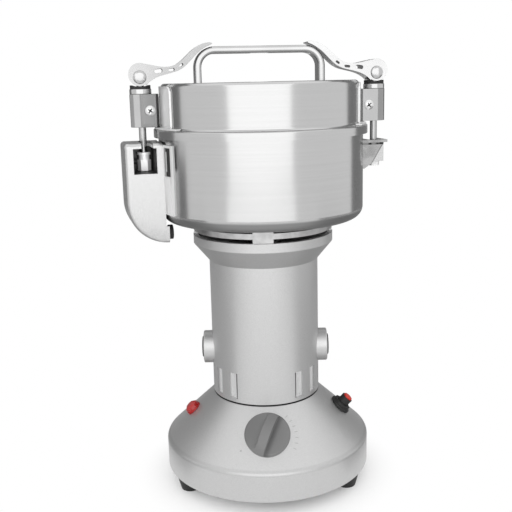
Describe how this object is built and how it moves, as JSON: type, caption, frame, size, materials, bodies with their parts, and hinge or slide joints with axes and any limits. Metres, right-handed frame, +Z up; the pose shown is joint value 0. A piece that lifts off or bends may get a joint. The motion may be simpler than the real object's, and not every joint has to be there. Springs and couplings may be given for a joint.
{
  "type": "electric spice grinder",
  "caption": "Upright high-speed electric spice and herb grinder with a steel bowl, a turning lid held by cam-lever clamps, a timer knob and a bladed rotor.",
  "frame": {"origin": "on the motor axis, at the height of the table that the rubber feet stand on", "axes": "+Z up along the motor axis, -Y towards the front with the timer knob, +X to the right seen from the front"},
  "size_m": [0.2178, 0.1845, 0.3661],
  "materials": {
    "silver_paint": "satin",
    "cast_alloy": "satin",
    "swing_alloy": "satin",
    "brushed_steel": "brushed",
    "sheet_steel": "satin",
    "polished_steel": "polished",
    "cast_chrome": "satin",
    "bright_steel": "polished",
    "plated_steel": "satin",
    "blade_steel": "ground",
    "silver_plastic": "gloss",
    "black_plastic": "satin",
    "grey_plastic": "matte",
    "cream_plastic": "matte",
    "red_lens": "gloss",
    "red_plastic": "satin",
    "black_rubber": "matte",
    "silicone": "matte",
    "brass": "satin",
    "copper": "satin",
    "carbon": "matte",
    "motor_iron": "laminated"
  },
  "bodies": {
    "base": {"base_shell": "silver_paint", "bottom_plate": "sheet_steel", "rubber_feet": "black_rubber", "foot_screws": "bright_steel", "timer_body": "cream_plastic", "indicator_lamp": "red_lens", "breaker_nut": "black_plastic", "breaker_body": "black_plastic", "cord_gland": "black_rubber", "column_housing": "silver_paint", "brush_caps": "black_plastic", "brush_holders": "brass", "carbon_brushes": "carbon", "lower_bearing_bracket": "cast_alloy", "lower_bearing": "bright_steel", "stator_core": "motor_iron", "field_coils": "copper", "upper_bearing_bracket": "cast_alloy", "upper_bearing": "bright_steel", "grinding_bowl": "brushed_steel", "bowl_screws": "bright_steel", "shaft_seal": "black_rubber", "left_hook": "sheet_steel", "switch_housing": "silver_plastic", "switch_carrier": "black_plastic", "microswitch": "black_plastic", "cable_grommet": "black_rubber", "right_hook": "sheet_steel"},
    "lid": {"lid_shell": "brushed_steel", "lid_liner": "brushed_steel", "lid_seal": "silicone", "lid_handle": "polished_steel", "left_lid_bracket": "brushed_steel", "right_lid_bracket": "brushed_steel", "left_swing_block": "swing_alloy", "right_swing_block": "swing_alloy", "lid_screws": "bright_steel", "seat_rings": "polished_steel", "cam_seats": "black_rubber"},
    "left_clamp": {"left_rod": "bright_steel", "left_rod_nut": "plated_steel", "left_barrel_pin": "polished_steel"},
    "right_clamp": {"right_rod": "bright_steel", "right_rod_nut": "plated_steel", "right_barrel_pin": "polished_steel"},
    "left_lever": {"left_cam_lever": "cast_chrome"},
    "right_lever": {"right_cam_lever": "cast_chrome"},
    "rotor": {"motor_shaft": "bright_steel", "commutator": "copper", "armature_core": "motor_iron", "armature_windings": "copper", "cooling_fan": "black_plastic", "lower_blade": "blade_steel", "blade_spacer": "blade_steel", "upper_blade": "blade_steel", "blade_nut": "blade_steel"},
    "timer_dial": {"timer_knob": "grey_plastic", "timer_shaft": "bright_steel"},
    "reset_key": {"reset_button": "red_plastic"},
    "safety_pin": {"safety_plunger": "black_plastic"}
  },
  "joints": [
    {"name": "lid_turn", "type": "hinge", "parent": "base", "child": "lid", "pos_m": [0, 0, 0.3], "axis": [0, 0, 1], "range_deg": [0, 20]},
    {"name": "left_rod_lift", "type": "slide", "parent": "lid", "child": "left_clamp", "axis": [0, 0, 1], "range_m": [0, 0.00438]},
    {"name": "right_rod_lift", "type": "slide", "parent": "lid", "child": "right_clamp", "axis": [0, 0, 1], "range_m": [0, 0.00438]},
    {"name": "left_lever_swing", "type": "hinge", "parent": "left_clamp", "child": "left_lever", "pos_m": [-0.09413, -0.01491, 0.3405], "axis": [0.1564, -0.9877, 0], "range_deg": [0, 165]},
    {"name": "right_lever_swing", "type": "hinge", "parent": "right_clamp", "child": "right_lever", "pos_m": [0.09413, 0.01491, 0.3405], "axis": [-0.1564, 0.9877, 0], "range_deg": [0, 165]},
    {"name": "rotor_spin", "type": "hinge", "parent": "base", "child": "rotor", "pos_m": [0, 0, 0.15], "axis": [0, 0, 1], "continuous": true},
    {"name": "timer_knob_turn", "type": "hinge", "parent": "base", "child": "timer_dial", "pos_m": [0, -0.0643, 0.057], "axis": [0, 0.6814, -0.7319], "range_deg": [-140, 130]},
    {"name": "reset_button_press", "type": "slide", "parent": "base", "child": "reset_key", "axis": [-0.6788, 0.0594, -0.7319], "range_m": [0, 0.002], "stiffness_N_per_m": 400},
    {"name": "safety_plunger_travel", "type": "slide", "parent": "base", "child": "safety_pin", "axis": [0.9659, 0.2588, 0], "range_m": [0, 0.0026]}
  ],
  "couplings": [
    {"joint": "left_lever_swing", "follows": "left_rod_lift", "rad_per_m": 657.18},
    {"joint": "right_lever_swing", "follows": "right_rod_lift", "rad_per_m": 657.18},
    {"joint": "safety_plunger_travel", "follows": "lid_turn", "m_per_rad": 0.00716}
  ]
}
